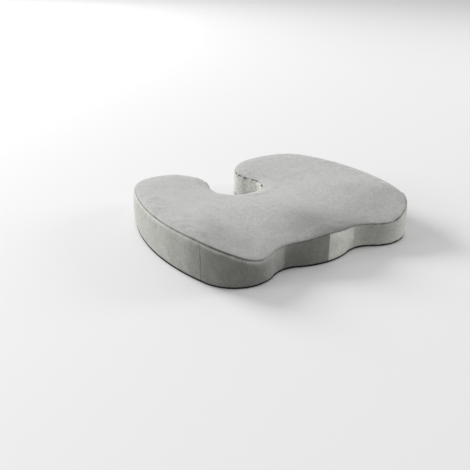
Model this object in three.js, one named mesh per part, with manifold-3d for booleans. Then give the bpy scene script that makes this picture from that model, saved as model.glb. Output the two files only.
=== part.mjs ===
// Coccyx seat cushion: a contoured memory-foam core in a jersey liner, inside a zipped plush cover.
// Millimetres, +Z up, front towards -Y. The origin is on the resting face, on the cushion's centre plane.
import * as THREE from "three";
import { mergeVertices } from "three/addons/utils/BufferGeometryUtils.js";
import Module from "manifold-3d";

const wasm = await Module();
wasm.setup();

// ---- Driving dimensions ----
const DEPTH = 390; // front lobes to rear lobes
const POMMEL_R = 126.2; // the wide convex nose between the thighs
const POMMEL_Y = -64.7;
const BAY_R = 55.3; // the shallow bay under each thigh
const FRONT_LOBE = { x: 141.2, r: 67.9 };
const SIDE_R = 418; // the long, nearly straight side
const REAR_LOBE = { x: 96.1, r: 109.2 };
const NOTCH_CORNER_R = 53.2; // where a rear lobe turns into the coccyx notch
const NOTCH_CORNER_ANGLE = 95; // degrees round the rear lobe
const NOTCH_R = 50; // half the width of the notch's round end
const NOTCH_Y = 90.6; // centre of the notch's round end

const FABRIC = 1.6; // plush and its backing
const SEAM_GAP = 0.3;
const RIM_Z = 3.2; // the base fabric turns up this far
const LINER_INSET = 4.6; // room for seam allowances and the zip's slider
const LINER = 0.8;

const POMMEL_SEAM_X = 0;
const SIDE_SEAM_Y = -138;

const ZIP_Z = 15; // centre line of the zip above the floor
const ZIP_FROM = -15; // degrees round the side's centre
const ZIP_TO = 16.8;
const ZIP_SLOT = 5; // half the gap between the two zip bands
const COIL_GAP = 0.7; // half the gap between the coils
const COIL_H = 2.1;
const TAPE_H = 11;
const STOP_ANGLE = 0.38;
const SLIDER_ANGLE = 1.38; // 10 mm of the side's arc
const CLEARANCE_ANGLE = 0.065;

const rad = THREE.MathUtils.degToRad;
const point = (x, y) => new THREE.Vector2(x, y);

// ---- Plan outline: tangent arcs from the pommel round to the notch ----
// Where two circles cross; side +1 is to the left of the line from a to b.
function crossing(a, ra, b, rb, side) {
  const d = a.distanceTo(b);
  const along = (ra * ra - rb * rb + d * d) / (2 * d);
  const off = Math.sqrt(ra * ra - along * along) * side;
  const u = b.clone().sub(a).divideScalar(d);
  return point(a.x + u.x * along - u.y * off, a.y + u.y * along + u.x * off);
}
const angleOf = (centre, p) => Math.atan2(p.y - centre.y, p.x - centre.x);

const pommel = point(0, POMMEL_Y);
const frontLobe = point(FRONT_LOBE.x, FRONT_LOBE.r - DEPTH / 2);
const rearLobe = point(REAR_LOBE.x, DEPTH / 2 - REAR_LOBE.r);
const notch = point(0, NOTCH_Y);
const bay = crossing(pommel, POMMEL_R + BAY_R, frontLobe, FRONT_LOBE.r + BAY_R, -1);
const side = crossing(frontLobe, SIDE_R - FRONT_LOBE.r, rearLobe, SIDE_R - REAR_LOBE.r, 1);
const cornerAngle = rad(NOTCH_CORNER_ANGLE);
const corner = point(Math.cos(cornerAngle), Math.sin(cornerAngle))
  .multiplyScalar(REAR_LOBE.r - NOTCH_CORNER_R)
  .add(rearLobe);
// The notch's side is the line that touches the corner's circle and the notch's round end.
const flank =
  angleOf(notch, corner) - Math.acos((NOTCH_CORNER_R + NOTCH_R) / notch.distanceTo(corner));

// Each arc of the right half: centre, radius, start and end angle, whether it is convex.
const ARCS = [
  [bay, BAY_R, angleOf(bay, pommel), angleOf(bay, frontLobe), false],
  [frontLobe, FRONT_LOBE.r, angleOf(bay, frontLobe) + Math.PI, angleOf(side, frontLobe), true],
  [side, SIDE_R, angleOf(side, frontLobe), angleOf(side, rearLobe), true],
  [rearLobe, REAR_LOBE.r, angleOf(side, rearLobe), cornerAngle, true],
  [corner, NOTCH_CORNER_R, cornerAngle, flank + Math.PI, true],
];

// The closed outline moved inwards by inset. Every inset keeps the same centres and angles.
function outline(inset) {
  const shape = new THREE.Shape();
  const grow = (r, convex) => (convex ? r - inset : r + inset);
  const half = Math.PI / 2 + angleOf(pommel, bay);
  shape.absarc(0, POMMEL_Y, POMMEL_R - inset, -Math.PI / 2 - half, -Math.PI / 2 + half, false);
  for (const [c, r, from, to, convex] of ARCS)
    shape.absarc(c.x, c.y, grow(r, convex), from, to, !convex);
  shape.absarc(0, NOTCH_Y, NOTCH_R + inset, flank, Math.PI - flank, true);
  for (const [c, r, from, to, convex] of [...ARCS].reverse())
    shape.absarc(-c.x, c.y, grow(r, convex), Math.PI - to, Math.PI - from, !convex);
  return shape;
}

// ---- Seat surface ----
const REAR_H = 58;
const REAR_FALL = 4; // towards the rear edge
const SIDE_RISE = 10.5; // the sides stand higher than the middle
const FRONT_H = 43.5; // lowest point, at the bays
const LOBE_RISE = 24;
const NOSE_RISE = 8.5;
const GROOVE = { x: 88, width: 36, depth: 4, y: -85, length: 62 };
const RIDGE = { width: 34, height: 3.5, y: -100, length: 70 };
const DISH = { x: 82, y: 35, radius: 70, depth: 3 };
const SIDE_LIP = 2; // the outermost part of each side
const LOBE_LIFT = 2.7; // towards the rear edge of each rear lobe
const TAIL_DIP = { y: 90, radius: 75, depth: 12 }; // round the notch
const step = (t, from, to) => THREE.MathUtils.smoothstep(t, from, to);
const bell = (t) => Math.exp(-t * t);

function seatHeight(x, y) {
  const a = Math.abs(x);
  const rear = REAR_H + SIDE_RISE * step(a, 60, 205) - REAR_FALL * step(y, 40, 190);
  const front = FRONT_H + NOSE_RISE * bell(a / 52) + LOBE_RISE * step(a, 130, 220);
  const slopeFrom = 10 - 105 * step(a, 100, 212);
  const forward = step(-y, -slopeFrom, 182);
  const groove =
    GROOVE.depth * bell((a - GROOVE.x) / GROOVE.width) * bell((y - GROOVE.y) / GROOVE.length);
  const ridge = RIDGE.height * bell(a / RIDGE.width) * bell((y - RIDGE.y) / RIDGE.length);
  const dish = DISH.depth * bell(Math.hypot(a - DISH.x, y - DISH.y) / DISH.radius);
  const lip = SIDE_LIP * step(a, 130, 215);
  const lift = LOBE_LIFT * step(y, 60, 190) * step(a, 50, 90);
  const dip = TAIL_DIP.depth * bell(Math.hypot(a, y - TAIL_DIP.y) / TAIL_DIP.radius);
  return THREE.MathUtils.lerp(rear, front, forward) - groove + ridge - dish + lip + lift - dip;
}

// ---- Solids ----
function solid(geometry) {
  const g = geometry.clone();
  g.deleteAttribute("normal");
  g.deleteAttribute("uv");
  const merged = mergeVertices(g, 1e-4);
  return new wasm.Manifold(
    new wasm.Mesh({
      numProp: 3,
      vertProperties: merged.attributes.position.array,
      triVerts: new Uint32Array(merged.index.array),
    }),
  );
}

const OUTLINE_SEGMENTS = 5; // half the facets of each arc
function prism(inset, z0, z1) {
  const g = new THREE.ExtrudeGeometry(outline(inset), {
    depth: z1 - z0,
    bevelEnabled: false,
    curveSegments: OUTLINE_SEGMENTS,
  });
  return solid(g.translate(0, 0, z0));
}

function box(x0, x1, y0, y1, z0, z1) {
  const g = new THREE.BoxGeometry(x1 - x0, y1 - y0, z1 - z0);
  return solid(g.translate((x0 + x1) / 2, (y0 + y1) / 2, (z0 + z1) / 2));
}

// A block whose top is the seat surface lowered by drop.
const GRID = { w: 480, d: 416, nx: 20, ny: 18 };
function under(drop) {
  const g = new THREE.BoxGeometry(GRID.w, GRID.d, 2, GRID.nx, GRID.ny, 1);
  const p = g.attributes.position;
  for (let i = 0; i < p.count; i++)
    p.setZ(i, p.getZ(i) > 0 ? seatHeight(p.getX(i), p.getY(i)) - drop : -20);
  return solid(g);
}

// A block that follows an arc: radii r0 to r1 about centre, angles in degrees.
function arcBlock(centre, r0, r1, z0, z1, from, to, segments) {
  const shape = new THREE.Shape();
  shape.absarc(centre.x, centre.y, r1, rad(from), rad(to), false);
  shape.absarc(centre.x, centre.y, r0, rad(to), rad(from), true);
  const g = new THREE.ExtrudeGeometry(shape, {
    depth: z1 - z0,
    bevelEnabled: false,
    curveSegments: segments,
  });
  return solid(g.translate(0, 0, z0));
}

const part = new THREE.Group();
function add(name, body, material) {
  const m = body.getMesh();
  const g = new THREE.BufferGeometry();
  g.setAttribute("position", new THREE.BufferAttribute(new Float32Array(m.vertProperties), 3));
  g.setIndex(new THREE.BufferAttribute(new Uint32Array(m.triVerts), 1));
  g.computeVertexNormals();
  const mesh = new THREE.Mesh(g, material);
  mesh.name = name;
  part.add(mesh);
  return mesh;
}

// ---- Materials ----
const finish = (color, roughness, metalness) =>
  new THREE.MeshStandardMaterial({ color, roughness, metalness });
const plush = finish(0xa9aaa6, 0.95, 0);
const jersey = finish(0xe6e5e0, 0.9, 0);
const foam = finish(0xf1ecd6, 0.85, 0);
const grip = finish(0x141414, 0.8, 0);
const zipTape = finish(0x1b1b1c, 0.85, 0);
const zipCoil = finish(0x232324, 0.4, 0);
const zipMetal = finish(0x8e9093, 0.3, 1);
const satin = finish(0xf2f2ee, 0.6, 0);

// ---- Foam core and its liner ----
const HIGH = 120; // above every top surface
const baseTop = FABRIC;
const linerFloor = baseTop + SEAM_GAP;
const linerTop = FABRIC + SEAM_GAP;
const foamInset = LINER_INSET + LINER + SEAM_GAP;
const foamFloor = linerFloor + LINER + SEAM_GAP;
const foamTop = linerTop + LINER + SEAM_GAP;

add("foam_core", prism(foamInset, foamFloor, HIGH).intersect(under(foamTop)), foam);
add("inner_liner_lower", prism(LINER_INSET, linerFloor, linerFloor + LINER), jersey);
const linerOuter = prism(LINER_INSET, foamFloor, HIGH).intersect(under(linerTop));
const linerInner = prism(LINER_INSET + LINER, foamFloor - 1, HIGH).intersect(
  under(linerTop + LINER),
);
add("inner_liner_upper", linerOuter.subtract(linerInner), jersey);

// ---- Cover: top panel, base panel and side bands ----
const topPanel = prism(0, 0, HIGH).intersect(under(0)).subtract(under(FABRIC));
add("cover_top_panel", topPanel, plush);
const tray = prism(0, 0, RIM_Z).subtract(prism(FABRIC, baseTop, RIM_Z + 1));
add("base_panel", tray, grip);

const band = prism(0, RIM_Z + SEAM_GAP, HIGH)
  .subtract(prism(FABRIC, 0, HIGH + 1))
  .intersect(under(FABRIC + SEAM_GAP));
const yAt = (degrees) => side.y + SIDE_R * Math.sin(rad(degrees));
const zipFrontY = yAt(ZIP_FROM);
const zipRearY = yAt(ZIP_TO);
const FAR = 260; // past every outline
const EAST = 130; // between the notch and the right side
const half = SEAM_GAP / 2;
const cut = (x0, x1, y0, y1, z0 = -1, z1 = HIGH) => band.intersect(box(x0, x1, y0, y1, z0, z1));

add("front_band_left", cut(-FAR, POMMEL_SEAM_X - half, -FAR, SIDE_SEAM_Y - half), plush);
add("front_band_right", cut(POMMEL_SEAM_X + half, FAR, -FAR, zipFrontY - half), plush);
const rearBand = cut(-FAR, EAST, SIDE_SEAM_Y + half, FAR).add(
  cut(EAST - 1, FAR, zipRearY + half, FAR),
);
add("rear_band", rearBand, plush);
const zipBand = (z0, z1) => cut(EAST, FAR, zipFrontY + half, zipRearY - half, z0, z1);
add("zip_band_upper", zipBand(ZIP_Z + ZIP_SLOT, HIGH), plush);
add("zip_band_lower", zipBand(-1, ZIP_Z - ZIP_SLOT), plush);

// ---- Zip, on the arc of the right side. Depths are measured inwards from the cover's face ----
const ZIP_SEGMENTS = 12;
const zipPiece = (d0, d1, z0, z1, from, to, segments = ZIP_SEGMENTS) =>
  arcBlock(side, SIDE_R - d1, SIDE_R - d0, z0, z1, from, to, segments);
const TAPE = [2.0, 2.6];
const COIL = [1.0, 3.0];
const tapeFrom = ZIP_FROM + 0.1;
const tapeTo = ZIP_TO - 0.1;
const coilFrom = tapeFrom + STOP_ANGLE + CLEARANCE_ANGLE;
const coilTo = tapeTo - STOP_ANGLE - CLEARANCE_ANGLE;
const tapeInner = COIL_GAP + COIL_H + SEAM_GAP;

for (const [name, up] of [
  ["upper", 1],
  ["lower", -1],
]) {
  const span = (a, b) => (up > 0 ? [ZIP_Z + a, ZIP_Z + b] : [ZIP_Z - b, ZIP_Z - a]);
  add(`zip_tape_${name}`, zipPiece(...TAPE, ...span(tapeInner, TAPE_H), tapeFrom, tapeTo), zipTape);
  const coil = zipPiece(...COIL, ...span(COIL_GAP, COIL_GAP + COIL_H), coilFrom, coilTo);
  add(`zip_coil_${name}`, coil, zipCoil);
  const stop = zipPiece(...COIL, ...span(COIL_GAP, COIL_GAP + COIL_H), tapeTo - STOP_ANGLE, tapeTo, 1);
  add(`zip_top_stop_${name}`, stop, zipMetal);
}
const bottomStop = zipPiece(
  ...COIL,
  ZIP_Z - COIL_GAP - COIL_H,
  ZIP_Z + COIL_GAP + COIL_H,
  tapeFrom,
  tapeFrom + STOP_ANGLE,
  1,
);
add("zip_bottom_stop", bottomStop, zipMetal);

// The slider stands at the closed, rear end: two plates with turned-in edges, joined by a thin wedge.
const SLIDER_HALF_W = 4.4;
const SLIDER_LIP = 0.9;
const sliderTo = coilTo - CLEARANCE_ANGLE;
const sliderFrom = sliderTo - SLIDER_ANGLE;
const sliderMid = (sliderFrom + sliderTo) / 2;
const sliderPiece = (d0, d1, z0, z1, from = sliderFrom, to = sliderTo) =>
  zipPiece(d0, d1, ZIP_Z + z0, ZIP_Z + z1, from, to, 2);
const OUTER_PLATE = [-0.5, 0.7];
const INNER_PLATE = [3.3, 4.1];
const WEDGE_HALF = 0.35;
let slider = sliderPiece(...OUTER_PLATE, -SLIDER_HALF_W, SLIDER_HALF_W)
  .add(sliderPiece(...INNER_PLATE, -SLIDER_HALF_W, SLIDER_HALF_W))
  .add(sliderPiece(0.2, 3.8, -WEDGE_HALF, WEDGE_HALF, sliderMid, sliderTo));
for (const z of [-SLIDER_HALF_W, SLIDER_HALF_W - SLIDER_LIP])
  slider = slider.add(sliderPiece(0.2, 1.6, z, z + SLIDER_LIP));

// The bridge over the pull's eye: a bar on two posts, along the zip.
const BRIDGE_HALF_W = 1;
const BRIDGE_HALF = 0.55; // degrees from the slider's middle
const BRIDGE_POST = 0.13;
const BRIDGE_BAR = [-3.2, -2.4];
const bridge = (depths, from, to) => sliderPiece(...depths, -BRIDGE_HALF_W, BRIDGE_HALF_W, from, to);
slider = slider.add(bridge(BRIDGE_BAR, sliderMid - BRIDGE_HALF, sliderMid + BRIDGE_HALF));
for (const from of [sliderMid - BRIDGE_HALF, sliderMid + BRIDGE_HALF - BRIDGE_POST])
  slider = slider.add(bridge([-2.8, 0], from, from + BRIDGE_POST));
add("zip_slider", slider, zipMetal);

// The pull, built flat along -Y with its eye on the Z axis, then set at the bridge.
const EYE_R = 0.6;
const EYE_HALF = 2.2;
const ARM = 0.9;
const PULL_NECK = 5.2;
const PULL_L = 27;
const PULL_HALF_W = 3;
const PULL_AXIS_D = -1.45;
const eye = new THREE.CylinderGeometry(EYE_R, EYE_R, 2 * EYE_HALF, 10).rotateX(Math.PI / 2);
let pull = solid(eye);
for (const z of [-EYE_HALF, EYE_HALF - ARM])
  pull = pull.add(box(-EYE_R, EYE_R, -PULL_NECK - 1, 0, z, z + ARM));
pull = pull.add(box(-EYE_R, EYE_R, -PULL_L, -PULL_NECK, -PULL_HALF_W, PULL_HALF_W));
const PULL_HOLE = new THREE.CylinderGeometry(1.5, 1.5, 4, 16).rotateZ(Math.PI / 2);
pull = pull.subtract(solid(PULL_HOLE.translate(0, 3.6 - PULL_L, 0)));
const pullAxis = point(Math.cos(rad(sliderMid)), Math.sin(rad(sliderMid)))
  .multiplyScalar(SIDE_R - PULL_AXIS_D)
  .add(side);
const pullMesh = add("zip_pull", pull, zipMetal);
pullMesh.rotation.z = rad(sliderMid);
pullMesh.position.set(pullAxis.x, pullAxis.y, ZIP_Z);

// ---- Care label, sewn into the base seam behind the left rear lobe ----
const LABEL = { from: 116, to: 127, z0: 1.4, z1: 31, off: 0.3, thick: 0.5 };
const leftRear = point(-rearLobe.x, rearLobe.y);
const label = arcBlock(
  leftRear,
  REAR_LOBE.r + LABEL.off,
  REAR_LOBE.r + LABEL.off + LABEL.thick,
  LABEL.z0,
  LABEL.z1,
  LABEL.from,
  LABEL.to,
  3,
);
add("care_label", label, satin);

export default part;
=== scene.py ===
# %% [markdown]
# # A contoured seat cushion, made as a maker would sew it
# The cushion is a block of slow foam with a notch at the back for the tailbone, a nose between the
# thighs and two shallow grooves under them. It sits in a thin jersey sock, and both sit in a zipped
# plush cover with a black anti-slip base. The frame gives the size and place of every piece, so each
# mesh below is drawn in metres in that frame and never moved afterwards.
# %% The frame
import math

import bmesh
import bpy
from mathutils import Matrix, Vector, kdtree, noise


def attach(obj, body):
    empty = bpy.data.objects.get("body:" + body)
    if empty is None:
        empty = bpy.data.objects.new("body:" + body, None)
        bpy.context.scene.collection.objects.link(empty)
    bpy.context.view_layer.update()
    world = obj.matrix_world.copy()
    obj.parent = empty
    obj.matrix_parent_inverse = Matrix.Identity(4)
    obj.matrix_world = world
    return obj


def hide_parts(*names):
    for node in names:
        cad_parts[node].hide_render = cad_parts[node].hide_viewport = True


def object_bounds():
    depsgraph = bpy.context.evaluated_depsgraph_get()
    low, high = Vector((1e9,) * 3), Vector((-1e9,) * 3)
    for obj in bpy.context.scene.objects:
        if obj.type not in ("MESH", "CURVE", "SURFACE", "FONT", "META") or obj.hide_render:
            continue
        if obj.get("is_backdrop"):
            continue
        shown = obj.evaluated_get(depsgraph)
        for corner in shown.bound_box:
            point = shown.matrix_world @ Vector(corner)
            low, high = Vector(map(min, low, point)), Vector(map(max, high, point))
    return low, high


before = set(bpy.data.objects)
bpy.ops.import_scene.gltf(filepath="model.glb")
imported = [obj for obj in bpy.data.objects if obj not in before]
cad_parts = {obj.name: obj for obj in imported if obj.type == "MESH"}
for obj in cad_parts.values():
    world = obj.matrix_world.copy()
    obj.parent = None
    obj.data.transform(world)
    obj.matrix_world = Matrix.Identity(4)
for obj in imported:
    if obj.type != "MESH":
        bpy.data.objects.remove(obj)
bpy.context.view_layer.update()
MM = 0.001

# %% [markdown]
# ## The camera
# A camera is a place, a direction and a focal length. The view comes from the front left,
# about 24 degrees above the seat, from a bit over one metre, so the near corner looks larger than
# the far one. A longer lens from further away would fit the same frame and look flatter.
# %% Camera
AZIMUTH, ELEVATION = math.radians(-32.27), math.radians(24.32)
TARGET = Vector((-0.0522, 0.0112, -0.0149))
DISTANCE = 1.1471
LENS_MM = 47.47

back = Vector((
    math.sin(AZIMUTH) * math.cos(ELEVATION),
    -math.cos(AZIMUTH) * math.cos(ELEVATION),
    math.sin(ELEVATION),
))
right = Vector((0, 0, 1)).cross(back).normalized()
turned = Matrix((right, back.cross(right), back)).transposed().to_4x4()
camera = bpy.data.objects.new("camera", bpy.data.cameras.new("camera"))
camera.data.lens = LENS_MM
camera.matrix_world = Matrix.Translation(TARGET + back * DISTANCE) @ turned
bpy.context.scene.collection.objects.link(camera)
bpy.context.scene.camera = camera
print("camera:", [round(v, 3) for v in camera.location], "m")

# %% [markdown]
# ## The plan
# The outline is a chain of tangent arcs, the way a pattern cutter draws it with a compass: a wide
# nose, a shallow bay under each thigh, a round front lobe, a long side that is almost straight, a
# large rear lobe, and the turn into the notch. Only the radii and a few centres are chosen. The
# others follow from tangency, so a changed radius still gives a smooth outline.
# %% Tangent arcs of the right half
DEPTH = 390 * MM
NOSE_Y, NOSE_R = -64.7 * MM, 126.2 * MM
BAY_R = 55.3 * MM
FRONT_X, FRONT_R = 141.2 * MM, 67.9 * MM
SIDE_R = 418 * MM
REAR_X, REAR_R = 96.1 * MM, 109.2 * MM
CORNER_R, CORNER_ANGLE = 53.2 * MM, math.radians(95)
NOTCH_Y, NOTCH_R = 90.6 * MM, 50 * MM


def crossing(a, ra, b, rb, side):
    """Where two circles meet; side 1 is to the left of the line from a to b."""
    gap = (b - a).length
    along = (ra * ra - rb * rb + gap * gap) / (2 * gap)
    u = (b - a) / gap
    off = math.sqrt(ra * ra - along * along) * side
    return a + u * along + Vector((-u.y, u.x, 0)) * off


def bearing(a, b):
    return math.atan2(b.y - a.y, b.x - a.x)


nose = Vector((0, NOSE_Y, 0))
front_lobe = Vector((FRONT_X, FRONT_R - DEPTH / 2, 0))
rear_lobe = Vector((REAR_X, DEPTH / 2 - REAR_R, 0))
notch = Vector((0, NOTCH_Y, 0))
bay = crossing(nose, NOSE_R + BAY_R, front_lobe, FRONT_R + BAY_R, -1)
side = crossing(front_lobe, SIDE_R - FRONT_R, rear_lobe, SIDE_R - REAR_R, 1)
corner = rear_lobe + (REAR_R - CORNER_R) * Vector((math.cos(CORNER_ANGLE), math.sin(CORNER_ANGLE), 0))
flank = bearing(notch, corner) - math.acos((CORNER_R + NOTCH_R) / (corner - notch).length)
for title, centre in (("bay", bay), ("side", side)):
    print(title, "arc's centre, mm:", [round(v / MM, 1) for v in centre.xy])

# %% [markdown]
# The upright seams of the side strips fall where two columns of the mesh meet, so the arcs also stop
# at the seams: at the nose, on the long side, and at both ends of the zip.
# %% Stops along the arcs
SIDE_SEAM_Y = -138 * MM
ZIP_FROM, ZIP_TO = math.radians(-15), math.radians(16.8)
DOWN = -math.pi / 2
side_seam = math.asin((SIDE_SEAM_Y - side.y) / SIDE_R)
# Each entry: centre, radius, and the angles where the arc starts, stops and ends.
ARCS = (
    (nose, NOSE_R, (DOWN, bearing(nose, bay))),
    (bay, BAY_R, (bearing(bay, nose), bearing(bay, front_lobe))),
    (front_lobe, FRONT_R, (bearing(bay, front_lobe) - math.pi, bearing(side, front_lobe))),
    (side, SIDE_R, (bearing(side, front_lobe), side_seam, ZIP_FROM, ZIP_TO, bearing(side, rear_lobe))),
    (rear_lobe, REAR_R, (bearing(side, rear_lobe), CORNER_ANGLE)),
    (corner, CORNER_R, (CORNER_ANGLE, flank + math.pi)),
    None,  # the straight flank of the notch
    (notch, NOTCH_R, (flank, DOWN)),
)

# %% [markdown]
# ## Drawing the outline with a spin
# `bmesh.ops.spin` turns one vertex round a centre and leaves a chain of edges behind it. Spins along
# the arcs draw the right half, and `mirror` gives the left. Typing the points by hand would give the
# same loop, but nobody could change it later.
# %% The outline as a loop of edges
PITCH = 4.5 * MM
BMVert, BMEdge, BMFace = bmesh.types.BMVert, bmesh.types.BMEdge, bmesh.types.BMFace


def only(made, kind):
    """The vertices, edges or faces among what an operator made."""
    return [g for g in made if isinstance(g, kind)]


def whole(bm):
    return bm.faces[:] + bm.edges[:] + bm.verts[:]


def half_chain(bm, inset):
    """The right half of the outline, inset from the cover's face, from the nose to the notch."""
    tail = bmesh.ops.create_vert(bm, co=(0, NOSE_Y - NOSE_R + inset, 0))["vert"][0]
    for arc in ARCS:
        if arc is None:
            end = notch + (NOTCH_R + inset) * Vector((math.cos(flank), math.sin(flank), 0))
            steps = round((end - tail.co).length / PITCH)
            turns = [(tail.co.copy(), 0.0, steps, (end - tail.co) / steps)]
        else:
            centre, radius, stops = arc
            turns = [
                (centre, b - a, max(1, round(abs(b - a) * radius / PITCH)), Vector())
                for a, b in zip(stops, stops[1:])
            ]
        for centre, angle, steps, shift in turns:
            spun = bmesh.ops.spin(
                bm, geom=[tail], cent=centre, dvec=shift, axis=(0, 0, 1), angle=angle, steps=steps
            )
            tail = only(spun["geom_last"], BMVert)[0]


def outline_face(bm, inset=0.0, height=0.0):
    """One many-sided face inside the outline, facing up."""
    half_chain(bm, inset)
    bmesh.ops.mirror(bm, geom=bm.verts[:] + bm.edges[:], merge_dist=0.01 * MM, axis="X")
    face = bmesh.ops.contextual_create(bm, geom=bm.edges[:])["faces"][0]
    bmesh.ops.translate(bm, verts=bm.verts[:], vec=(0, 0, height))
    face.normal_update()
    if face.normal.z < 0:
        face.normal_flip()
    return face


bm = bmesh.new()
columns = [v.co.copy() for v in outline_face(bm).verts]
bm.free()
perimeter = sum((b - a).length for a, b in zip(columns, columns[1:] + columns[:1]))
print("outline:", len(columns), "columns,", round(perimeter / MM), "mm round")

# %% [markdown]
# Every later ring is this outline moved inwards. Each column keeps its own foot and the direction
# that points out of the cushion there, and how far round the seam it is.
# %% Columns
outward, stations = [], []
travelled = 0.0
for i, here in enumerate(columns):
    before, after = columns[i - 1], columns[(i + 1) % len(columns)]
    tangent = ((here - before).normalized() + (after - here).normalized()).normalized()
    outward.append(Vector((tangent.y, -tangent.x, 0)))
    stations.append(travelled)
    travelled += (after - here).length
column_tree = kdtree.KDTree(len(columns))
for i, here in enumerate(columns):
    column_tree.insert(here, i)
column_tree.balance()


def nearest_column(x, y):
    return column_tree.find(Vector((x, y, 0)))[1]


def foot_of(point):
    """The nearest column's foot, its number, and how far inside the outline a point lies."""
    flat = Vector((point.x, point.y, 0))
    foot, column, _ = column_tree.find(flat)
    return foot, column, (foot - flat).dot(outward[column])


print("columns: one every", round(travelled / len(columns) / MM, 2), "mm")

# %% [markdown]
# ## The seat surface
# The height of the top is a formula rather than a sculpt, because the foam, the sock and the plush all
# need the same one: high at the sides, lower in the middle, sloping down to the two bays at the front,
# with a rounded ridge to the nose between two grooves for the thighs.
# %% Height of the seat
def step(value, start, end):
    t = min(1.0, max(0.0, (value - start) / (end - start)))
    return t * t * (3 - 2 * t)


def bell(value):
    return math.exp(-value * value)


def seat(x, y):
    """Height of the top seam's plane at a point of the plan, in metres."""
    a, y = abs(x) / MM, y / MM
    rear = 58 + 10.5 * step(a, 60, 205) - 4 * step(y, 40, 190)
    front = 43.5 + 8.5 * bell(a / 52) + 24 * step(a, 130, 220)
    forward = step(-y, 105 * step(a, 100, 212) - 10, 182)
    groove = 4 * bell((a - 88) / 36) * bell((y + 85) / 62)
    ridge = 3.5 * bell(a / 34) * bell((y + 100) / 70)
    dish = 3 * bell(math.hypot(a - 82, y - 35) / 70)
    lip, lift = 2 * step(a, 130, 215), 2.7 * step(y, 60, 190) * step(a, 50, 90)
    dip = 12 * bell(math.hypot(a, y - 90) / 75)
    return (rear + (front - rear) * forward - groove + ridge - dish + lip + lift - dip) * MM


print("heights, mm: nose", round(seat(0, -0.186) / MM), "bay", round(seat(0.078, -0.169) / MM),
      "side", round(seat(0.225, 0) / MM), "rear", round(seat(0.1, 0.19) / MM))

# %% [markdown]
# ## The plush cover, sewn as one bag and then inflated
# On the real cushion the cover is cut slightly large, and the foam pushes it out between the seams.
# The seams stay where they are sewn. Cloth simulation does the same: the bag below has a ring of
# vertices along each seam, those are pinned, and a little pressure swells the plush between them.
# A plain extrude and bevel would give the same outline but no swelling and no soft wrinkles.
# %% Rings of the bag
RIM_Z = 2.7 * MM
ZIP_Z, ZIP_SLOT = 15 * MM, 5 * MM
SEAM_INSET, SEAM_DROP = 1.5 * MM, 1.9 * MM
BAND_ROWS, BAND_FOOT, BAND_UNDER = 11, 5 * MM, 4.5 * MM
# Inset of each ring of the top panel, and how far it stands above the seat surface there.
TOP_RINGS = ((2.3, -0.7), (3.6, 0.1), (6.5, 0.7), (10.5, 1.2), (15.5, 1.6), (21.5, 1.9), (29, 2.1))
GRID_PITCH, GRID_SPAN = 6.5 * MM, 460 * MM


def zip_share(column):
    """1 along the zip, fading to 0 within 20 mm past its ends."""
    here = columns[column]
    if here.x < 0.1:
        return 0.0
    angle = bearing(side, here)
    past = max(ZIP_FROM - angle, angle - ZIP_TO, 0.0) * SIDE_R
    return 1 - step(past, 0, 20 * MM)


def band_height(column, row):
    """Height of a ring of the side strips. Along the zip the rings keep to the edges of its slot."""
    top = seat(columns[column].x, columns[column].y) - BAND_UNDER
    plain = BAND_FOOT + (top - BAND_FOOT) * (row / (BAND_ROWS - 1))
    low, high = ZIP_Z - ZIP_SLOT, ZIP_Z + ZIP_SLOT
    if row < 2:
        zipped = BAND_FOOT + (low - BAND_FOOT) * row
    else:
        zipped = high + (top - high) * (row - 2) / (BAND_ROWS - 3)
    share = zip_share(column)
    return plain + (zipped - plain) * share


def extrude_ring(bm, face, place):
    """Extrudes a face and puts each new vertex where place(column) says; returns the new face."""
    layer = bm.verts.layers.int["column"]
    made = bmesh.ops.extrude_face_region(bm, geom=[face])["geom"]
    top = only(made, BMFace)[0]
    if any(len(e.link_faces) == 3 for e in face.edges):
        bmesh.ops.delete(bm, geom=[face], context="FACES_ONLY")
    for v in top.verts:
        v.co = place(v[layer])
    return top


def at(column, inset, height):
    return columns[column] - outward[column] * inset + Vector((0, 0, height))


def on_side(angle, mirrored=False):
    """The column of the right (or left) long side at an angle about its centre."""
    x, y = side.x + SIDE_R * math.cos(angle), side.y + SIDE_R * math.sin(angle)
    return nearest_column(-x if mirrored else x, y)


zip_front, zip_rear = on_side(ZIP_FROM), on_side(ZIP_TO)
upright_seams = {
    nearest_column(0, NOSE_Y - NOSE_R),
    on_side(side_seam, mirrored=True),
    zip_front,
    zip_rear,
}

bm = bmesh.new()
layer_column = bm.verts.layers.int.new("column")
layer_ring = bm.verts.layers.int.new("ring")
layer_inset = bm.verts.layers.float.new("inset")
layer_pin = bm.verts.layers.float.new("pin")
top_face = outline_face(bm, SEAM_INSET, RIM_Z)
for v in top_face.verts:
    v[layer_column] = nearest_column(v.co.x, v.co.y)
    v[layer_pin] = 1
for row in range(BAND_ROWS):
    top_face = extrude_ring(bm, top_face, lambda c: at(c, 0, band_height(c, row)))
    for v in top_face.verts:
        on_slot = row in (1, 2) and zip_share(v[layer_column]) == 1
        v[layer_ring] = row + 1
        v[layer_pin] = 1 if on_slot or v[layer_column] in upright_seams else 0
for inset, drop in ((0.5, 2.9), (SEAM_INSET / MM, SEAM_DROP / MM)):
    top_face = extrude_ring(
        bm, top_face, lambda c: at(c, inset * MM, seat(columns[c].x, columns[c].y) - drop * MM)
    )
    for v in top_face.verts:
        v[layer_ring] += 1
SEAM_RING = BAND_ROWS + 2
for v in top_face.verts:
    v[layer_pin] = 1
for inset, rise in TOP_RINGS:
    top_face = extrude_ring(bm, top_face, lambda c: at(c, inset * MM, 0))
    for v in top_face.verts:
        v.co.z = seat(v.co.x, v.co.y) + rise * MM
        v[layer_ring] += 1
        v[layer_inset], v[layer_pin] = inset * MM, 0
print("bag:", len(bm.verts), "vertices,", len(bm.faces), "faces")

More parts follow.
